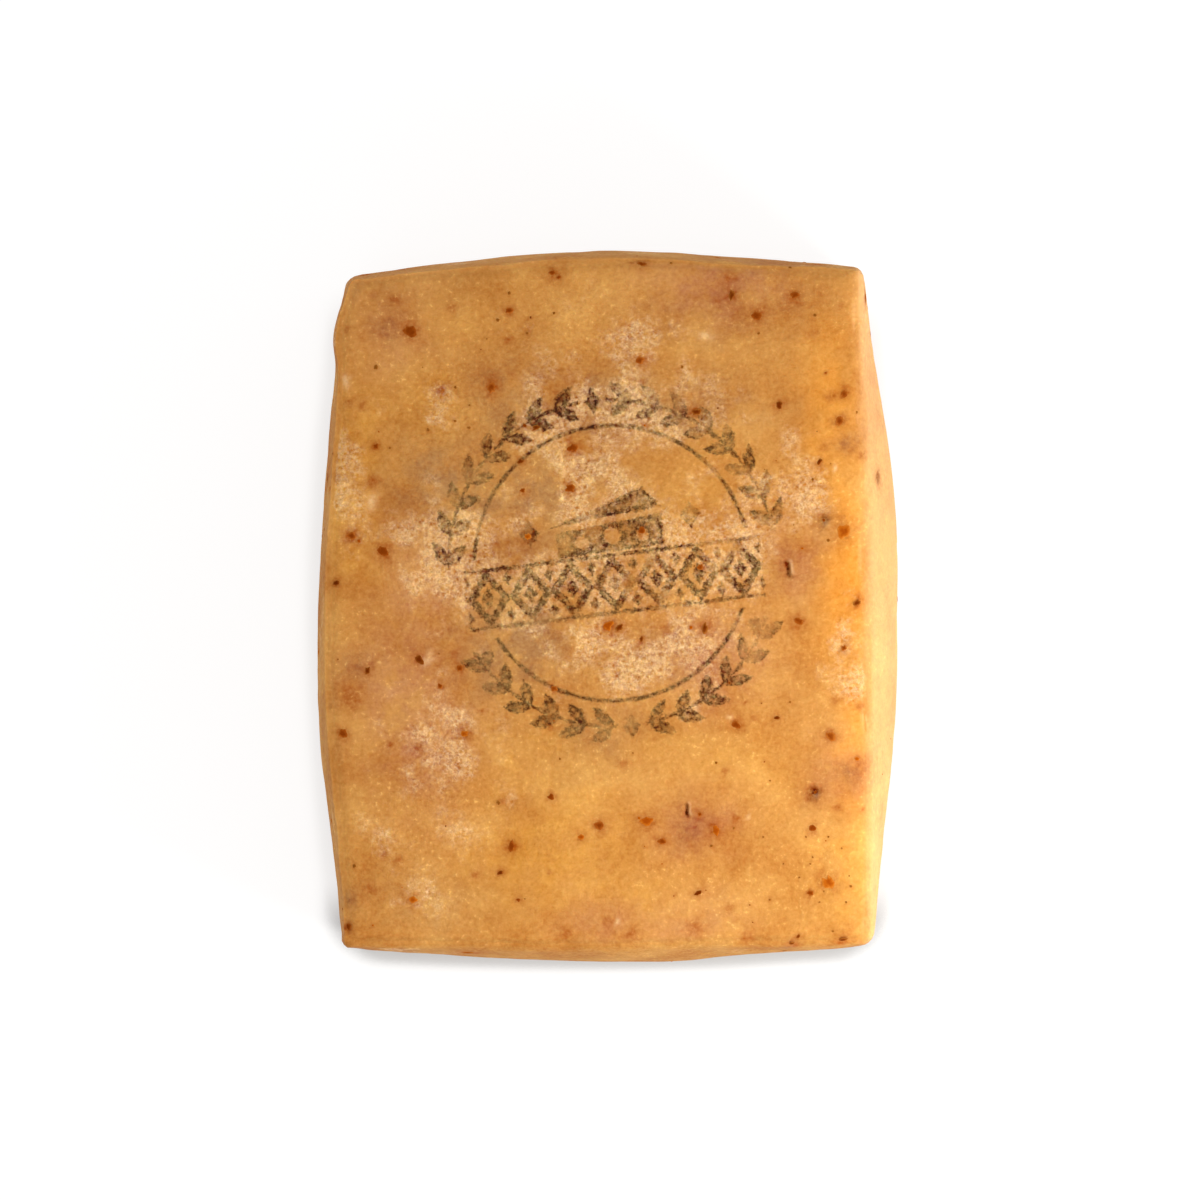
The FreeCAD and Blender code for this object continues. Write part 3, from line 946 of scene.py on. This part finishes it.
def cheese_material():
    """Golden waxy curd with a pale granular bloom, stains round the flakes, and the stamp."""
    graph = Graph("cheese")
    place = graph.place()
    geometry = graph.tree.nodes.new("ShaderNodeNewGeometry")
    side, back, up = graph.parts(geometry.outputs["Normal"])
    colour = curd_colour(graph, place, side, back, up)

    # The grain: gentle everywhere, strong and pale where the bloom lies, with scattered painted glints.
    bloom = graph.attribute("bloom")
    drifts = graph.sum(graph.product(bloom, 1.1), 0.5)
    drifts = graph.product(graph.centred(place, 9.0, 4.0, 0.62), drifts)
    patches = graph.remap(graph.sum(graph.product(bloom, 0.42), drifts), 0.10, 0.30)
    net = graph.sum(lace(graph, place, 1.7), graph.remap(graph.cells(place, 1.15), 0.15, 0.65))
    crumbs = graph.remap(graph.noise(place, 0.9, 2.0, 0.6), 0.54, 0.68)
    even = graph.centred(place, 15.0, 7.0, 0.72)
    fine = graph.centred(place, 1.0, 1.5, 0.65)
    crumbly = graph.centred(place, 2.6, 4.0, 0.76)
    frosted = graph.sum(graph.product(bloom, 0.5), graph.product(patches, 0.9))
    # Painted glints: small bright spots in patches.
    painted_glints = graph.product(graph.remap(graph.noise(place, 1.0, 2.0, 0.6), 0.62, 0.74),
                             graph.remap(graph.noise(place, 28.0, 2.0), 0.40, 0.60))
    grain = graph.sum(graph.product(even, 2.7), graph.product(fine, 1.3),
                      graph.product(fine, frosted, 1.6), graph.product(crumbly, frosted, 1.9),
                      graph.product(painted_glints, 0.75))
    frost = graph.product(patches, graph.sum(graph.product(net, 0.30), graph.product(crumbs, 0.40)))
    colour = graph.mix(frost, colour, FROST_SHADE)
    colour = flake_traces(graph, place, colour)
    ink = graph.product(stamp_ink(graph, place), INK_COVER)
    colour = graph.mix(ink, colour, INK_SHADE)
    colour = graph.vector("ADD", colour, graph.vector("SCALE", GRAIN, scale=grain))

    # Brown in the wrinkles of the walls, and in finer level creases among them.
    wrinkle = graph.attribute("wrinkle")
    level = graph.vector("MULTIPLY", place, (1.0, 1.0, 4.5))
    crease = graph.absolute(graph.centred(level, 22.0))
    crease = graph.product(graph.remap(crease, 0.030, 0.0), graph.remap(up, 0.5, 0.2),
                           graph.remap(graph.noise(place, 18.0, 3.0), 0.50, 0.66))
    colour = graph.mix(graph.product(graph.sum(wrinkle, crease), 0.13), colour, WRINKLE_SHADE)
    colour = graph.vector("MAXIMUM", colour, DARKEST)
    graph.put(graph.shader.inputs["Base Color"], colour)

    # Rougher where it is frosted, and on the walls. No gloss in the slits.
    rough = graph.sum(graph.remap(crumbly, -0.2, 0.2, 0.44, 0.58),
                      graph.remap(up, 0.8, 0.2, 0.0, 0.3), graph.product(patches, 0.12))
    graph.put(graph.shader.inputs["Roughness"], rough)
    gloss = graph.remap(graph.attribute("slit_shade"), 0.5, 0.1, 0.0, 0.08)
    graph.put(graph.shader.inputs["Specular IOR Level"], gloss)

    height = graph.sum(graph.product(even, 0.6), graph.product(fine, 0.1), graph.product(crumbly, 0.22),
                       graph.product(crumbly, frosted, 0.3), graph.product(crease, -0.15))
    graph.put(graph.shader.inputs["Normal"], graph.bump(height))

    graph.shader.inputs["Subsurface Weight"].default_value = 0.25
    graph.shader.inputs["Subsurface Radius"].default_value = (1.0, 0.45, 0.18)
    graph.shader.inputs["Subsurface Scale"].default_value = 2.4 * MM
    return graph.material


# Each colour of flake: its piece, its material, the kinds of mark that have one, with its
# width as a share of the mark's, and its colours from the middle to the edge.
FLAKE_SETS = (
    ("chilli_flakes_red", "chilli_red", {"red": 1.12, "pit": 0.3},
     (linear(128, 54, 6), linear(152, 74, 18), linear(176, 98, 34))),
    ("chilli_flakes_orange", "chilli_orange", {"orange": 1.1},
     (linear(158, 70, 8), linear(180, 92, 18), linear(196, 116, 40))),
    ("chilli_flakes_dark", "chilli_dark", {"dark": 1.1},
     (linear(104, 40, 4), linear(128, 62, 14), linear(158, 92, 34))),
    ("spice_specks", "spice_brown", {"speck": 0.95},
     (linear(132, 76, 22), linear(150, 90, 32), linear(176, 110, 46))),
)


def flake_material(name, shades):
    """Dried chilli skin: deepest in the middle, running out into the curd at its edge."""
    deep, mid, rim = shades
    graph = Graph(name)
    place = graph.place()
    core = graph.attribute("core")
    tone = graph.attribute("tone")
    patch = graph.noise(place, 0.7, 2.0, 0.6)
    uneven = graph.sum(core, graph.product(graph.less(patch, 0.5), 0.9),
                       graph.product(graph.less(tone, 0.5), 0.3))
    colour = graph.mix(graph.remap(uneven, 0.0, 0.34), rim, mid)
    colour = graph.mix(graph.remap(uneven, 0.25, 0.75), colour, deep)
    graph.put(graph.shader.inputs["Base Color"], colour)
    graph.put(graph.shader.inputs["Roughness"], graph.remap(patch, 0.3, 0.7, 0.6, 0.8))
    graph.put(graph.shader.inputs["Normal"], graph.bump(graph.product(patch, 0.15)))
    graph.shader.inputs["Specular IOR Level"].default_value = 0.0
    return graph.material


FLOOR_SHADES = (linear(132, 132, 132), linear(126, 126, 126))
FLOOR_GLOW = 0.85  # light from within, so that the floor stays white beside the block
SHADED_GLOW = 0.35  # and where the contact shade is deepest
SHADE_REACH = 10.0  # how near the block the contact shade begins
# Where it deepens to the front and fades to the back: from one y to another, and its share.
SHADE_FRONT = (-62.0, -78.0, 0.35, 1.0)
SHADE_BACK = (77.0, 60.0, 0.2, 1.0)


def floor_material():
    """White, lit a little from within, with a narrow painted contact shadow, deepest along the front."""
    graph = Graph("floor_white")
    place = graph.place()
    faint = graph.remap(graph.noise(place, 90.0, 1.0), 0.3, 0.7, 0.0, 0.04)
    graph.put(graph.shader.inputs["Base Color"], graph.mix(faint, *FLOOR_SHADES))
    graph.shader.inputs["Roughness"].default_value = 0.9
    graph.shader.inputs["Specular IOR Level"].default_value = 0.0
    graph.shader.inputs["Emission Color"].default_value = (1.0, 1.0, 1.0, 1.0)
    # Painted contact shadow: the floor's glow is dimmed where the block is near, most at the front.
    nearby = graph.tree.nodes.new("ShaderNodeAmbientOcclusion")
    nearby.samples = 16
    nearby.inputs["Distance"].default_value = SHADE_REACH * MM
    _, y, _ = graph.parts(place)
    shaded = graph.product(graph.remap(nearby.outputs["AO"], 1.0, 0.70),
                           graph.remap(y, *SHADE_FRONT), graph.remap(y, *SHADE_BACK))
    glow = graph.remap(shaded, 0.0, 1.0, FLOOR_GLOW, SHADED_GLOW)
    graph.put(graph.shader.inputs["Emission Strength"], glow)
    return graph.material


# ===================================== studio and camera ===================================
FLOOR_REACH = 3.0  # metres from the middle to each side
# The softboxes: name, place in metres, width in metres, power in watts, and colour.
LIGHTS = (
    ("key", (0.24, -0.15, 0.24), 0.16, 1.12, (1.0, 0.99, 0.93)),
    ("fill", (-0.25, 0.15, 1.1), 0.9, 1.2, (1.0, 1.0, 1.0)),
)


def floor():
    mesh = bpy.data.meshes.new("floor")
    corners = [(FLOOR_REACH * x, FLOOR_REACH * y, 0) for x, y in ((-1, -1), (1, -1), (1, 1), (-1, 1))]
    mesh.from_pydata(corners, [], [(0, 1, 2, 3)])
    piece = link_piece("floor", mesh)
    piece.data.materials.append(floor_material())


def soft_light(name, place, size, power, colour):
    """A square softbox, aimed at the middle of the block."""
    data = bpy.data.lights.new(name, "AREA")
    data.size = size
    data.energy = power
    data.color = colour
    light = bpy.data.objects.new(name, data)
    light.location = place
    aim = Vector((0, 0, 0.5 * TOP * MM)) - Vector(place)
    light.rotation_euler = aim.to_track_quat("-Z", "Y").to_euler()
    bpy.context.scene.collection.objects.link(light)


def studio():
    """The softboxes, and a white sky that is brighter near the horizon than overhead."""
    world = bpy.data.worlds.new("studio")
    world.use_nodes = True
    tree = world.node_tree
    direction = tree.nodes.new("ShaderNodeTexCoord")
    parts = tree.nodes.new("ShaderNodeSeparateXYZ")
    tree.links.new(direction.outputs["Generated"], parts.inputs[0])
    shade = tree.nodes.new("ShaderNodeMapRange")
    tree.links.new(parts.outputs["Z"], shade.inputs["Value"])
    for name, number in (("From Min", 0.05), ("From Max", 0.45), ("To Min", 1.0), ("To Max", 0.60)):
        shade.inputs[name].default_value = number
    background = tree.nodes["Background"]
    background.inputs["Color"].default_value = (1.0, 1.0, 1.0, 1.0)
    tree.links.new(shade.outputs[0], background.inputs["Strength"])
    bpy.context.scene.world = world
    for light in LIGHTS:
        soft_light(*light)
    bpy.context.scene.view_settings.view_transform = "Standard"


VIEW_HEIGHT = 2000.0  # camera above the floor
VIEW_WIDTH = 266.7  # how much of the plane of the top face fills the picture
VIEW_SHIFT = (-1.8, 1.2)  # the picture's middle, from the block's


def camera():
    """Looks straight down on the stamped face, as a new camera does."""
    data = bpy.data.cameras.new("camera")
    data.sensor_width = 36.0
    data.lens = data.sensor_width * (VIEW_HEIGHT - TOP) / VIEW_WIDTH
    data.clip_start = 0.1
    data.clip_end = 10.0
    piece = bpy.data.objects.new("camera", data)
    piece.location = (VIEW_SHIFT[0] * MM, VIEW_SHIFT[1] * MM, VIEW_HEIGHT * MM)
    bpy.context.scene.collection.objects.link(piece)
    bpy.context.scene.camera = piece


def main():
    body, spots = cheese_body()
    body.data.materials.append(cheese_material())
    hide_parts(NODE)

    pieces = [body]
    for name, material, sizes, shades in FLAKE_SETS:
        piece = flakes(name, body, spots, sizes)
        piece.data.materials.append(flake_material(material, shades))
        pieces.append(piece)
    for piece in pieces:
        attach(piece, "root")

    floor()
    studio()
    camera()


main()
